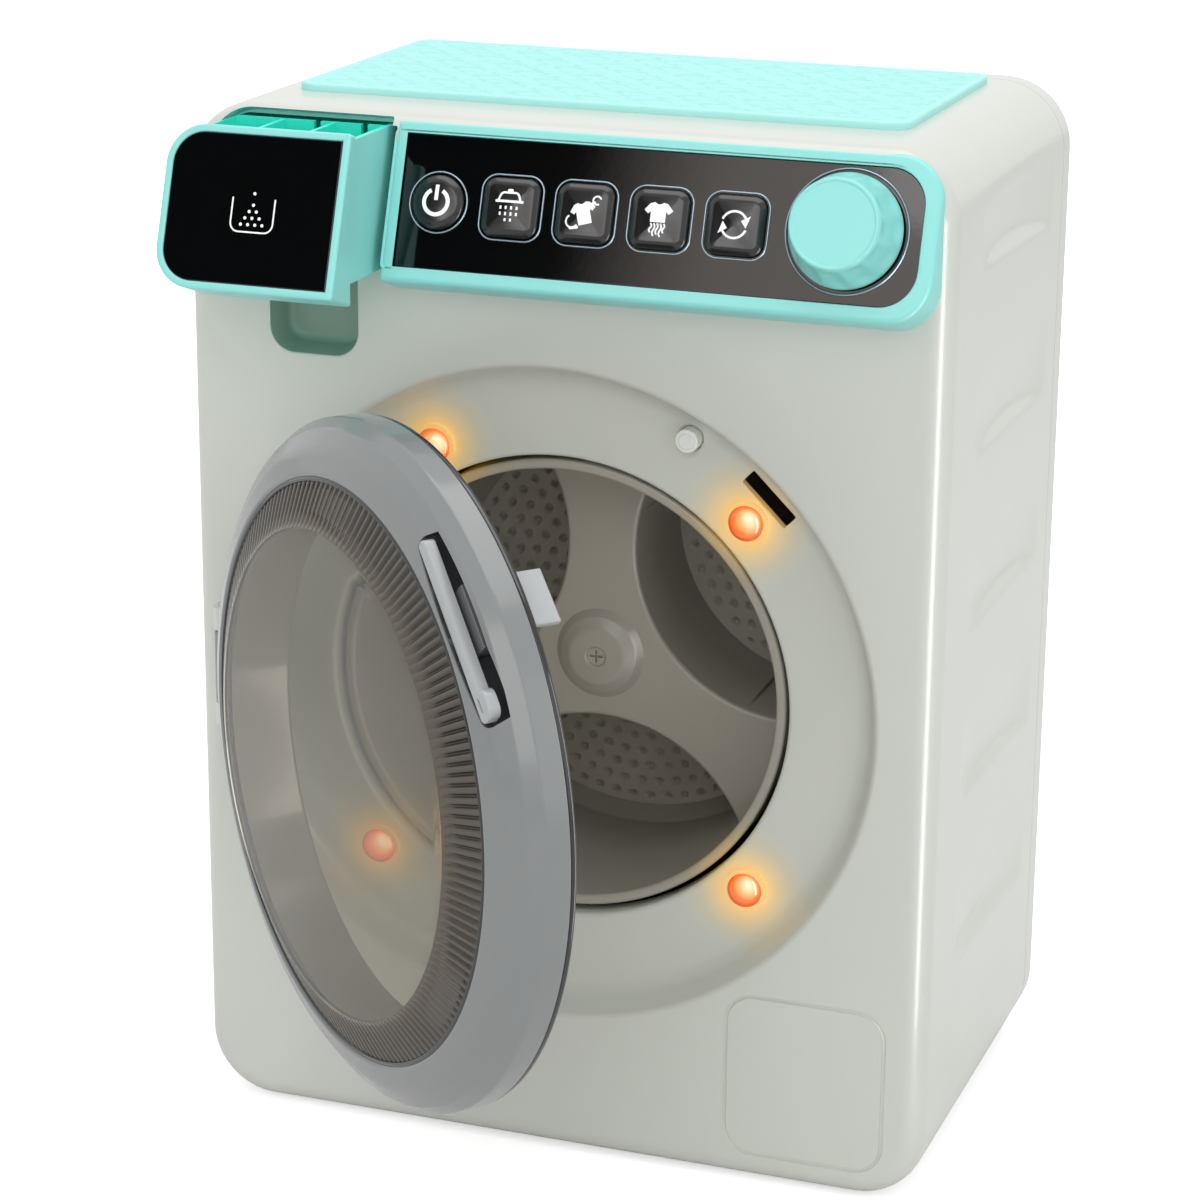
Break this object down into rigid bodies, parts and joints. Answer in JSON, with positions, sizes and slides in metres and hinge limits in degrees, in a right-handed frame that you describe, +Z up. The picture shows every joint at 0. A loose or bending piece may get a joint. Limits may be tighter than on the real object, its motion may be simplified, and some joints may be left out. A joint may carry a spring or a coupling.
{
  "type": "toy washing machine",
  "caption": "Toy front-loading washing machine with hinged porthole door, motor-driven drum, pull-out powder drawer, sprung buttons and a turning knob on a tilted panel",
  "frame": {"origin": "centre of the base on the floor", "axes": "X right, Y from front to back, Z up"},
  "size_m": [0.2, 0.2416, 0.273],
  "materials": {
    "body_shell": "satin moulded plastic, pale grey-green",
    "aqua_trim": "satin turquoise plastic",
    "black_panel": "high gloss black",
    "black_button": "gloss black domed keys",
    "door_grey": "glossy blue-grey plastic",
    "clear_smoke": "smoked transparent plastic",
    "dark_smoke": "dark smoked plastic",
    "drum_grey": "warm dark grey plastic",
    "lamp_orange": "glowing orange lens",
    "white_plastic": "white plastic",
    "silver_trim": "silver ring",
    "steel": "plated steel",
    "brass": "turned brass",
    "board_green": "circuit board",
    "dark_plastic": "dark moulded plastic",
    "natural_plastic": "natural gear plastic",
    "cell_sleeve": "cell sleeve"
  },
  "bodies": {
    "housing": {"cabinet": "body_shell", "rear_cover": "body_shell", "case_screws": "steel", "top_mat": "aqua_trim", "panel_bezel": "aqua_trim", "panel_fascia": "black_panel", "button_rims": "silver_trim", "button_springs": "steel", "knob_ring": "silver_trim", "control_board": "board_green", "board_switches": "dark_plastic", "rotary_switch": "dark_plastic", "drawer_cassette": "aqua_trim", "led_lenses": "lamp_orange", "led_boards": "board_green", "sensor_spring": "steel", "sensor_switch": "dark_plastic", "hinge_bracket": "body_shell", "hinge_pin": "steel", "gear_plate": "natural_plastic", "plate_screws": "steel", "shaft_bush": "brass", "motor": "steel", "motor_screws": "steel", "battery_box": "dark_plastic", "battery_cells": "cell_sleeve", "battery_contacts": "steel", "battery_door": "body_shell", "battery_screw": "steel", "speaker": "dark_plastic"},
    "door": {"door_ring": "door_grey", "door_window": "clear_smoke", "door_liner": "dark_smoke", "ring_posts": "door_grey", "liner_screws": "steel", "latch_spring": "steel"},
    "handle": {"latch_handle": "door_grey"},
    "drawer": {"drawer_tray": "aqua_trim", "drawer_front": "aqua_trim", "drawer_insert": "black_panel"},
    "tub": {"drum": "drum_grey", "drum_hub_screw": "steel", "drum_shaft": "steel", "drum_gear": "natural_plastic", "shaft_collar": "steel"},
    "rotor": {"motor_pinion": "natural_plastic"},
    "dial": {"knob": "aqua_trim", "knob_clip": "steel"},
    "power": {"power_button": "black_button"},
    "shower": {"shower_button": "black_button"},
    "shirt": {"shirt_button": "black_button"},
    "steam": {"steam_button": "black_button"},
    "cycle": {"cycle_button": "black_button"},
    "plunger": {"door_sensor": "white_plastic"}
  },
  "joints": [
    {"name": "door_hinge", "type": "hinge", "parent": "housing", "child": "door", "pos_m": [-0.09, -0.0669, 0.1246], "axis": [0, 0, -1], "range_deg": [-40.1, 64.9]},
    {"name": "handle_pull", "type": "slide", "parent": "door", "child": "handle", "axis": [0.5361, -0.4515, 0.7133], "range_m": [0, 0.0015], "stiffness_N_per_m": 600, "deforming": ["latch_spring"]},
    {"name": "drawer_slide", "type": "slide", "parent": "housing", "child": "drawer", "axis": [0, -1, 0], "range_m": [-0.025, 0.013]},
    {"name": "drum_spin", "type": "hinge", "parent": "housing", "child": "tub", "pos_m": [-0.002, 0, 0.1246], "axis": [0, 1, 0], "continuous": true},
    {"name": "motor_spin", "type": "hinge", "parent": "housing", "child": "rotor", "pos_m": [-0.002, 0, 0.15475], "axis": [0, 1, 0], "continuous": true},
    {"name": "knob_turn", "type": "hinge", "parent": "housing", "child": "dial", "pos_m": [0.0747, -0.0672, 0.25184], "axis": [0, -0.9449, 0.3272], "range_deg": [-150, 150]},
    {"name": "power_press", "type": "slide", "parent": "housing", "child": "power", "axis": [0, 0.9449, -0.3272], "range_m": [0, 0.0015], "stiffness_N_per_m": 600, "deforming": ["button_springs"]},
    {"name": "shower_press", "type": "slide", "parent": "housing", "child": "shower", "axis": [0, 0.9449, -0.3272], "range_m": [0, 0.0015], "stiffness_N_per_m": 600, "deforming": ["button_springs"]},
    {"name": "shirt_press", "type": "slide", "parent": "housing", "child": "shirt", "axis": [0, 0.9449, -0.3272], "range_m": [0, 0.0015], "stiffness_N_per_m": 600, "deforming": ["button_springs"]},
    {"name": "steam_press", "type": "slide", "parent": "housing", "child": "steam", "axis": [0, 0.9449, -0.3272], "range_m": [0, 0.0015], "stiffness_N_per_m": 600, "deforming": ["button_springs"]},
    {"name": "cycle_press", "type": "slide", "parent": "housing", "child": "cycle", "axis": [0, 0.9449, -0.3272], "range_m": [0, 0.0015], "stiffness_N_per_m": 600, "deforming": ["button_springs"]},
    {"name": "sensor_press", "type": "slide", "parent": "housing", "child": "plunger", "axis": [0, 1, 0], "range_m": [0, 0.0015], "stiffness_N_per_m": 600, "deforming": ["sensor_spring"]}
  ],
  "couplings": [
    {"joint": "motor_spin", "follows": "drum_spin", "ratio": -4}
  ]
}
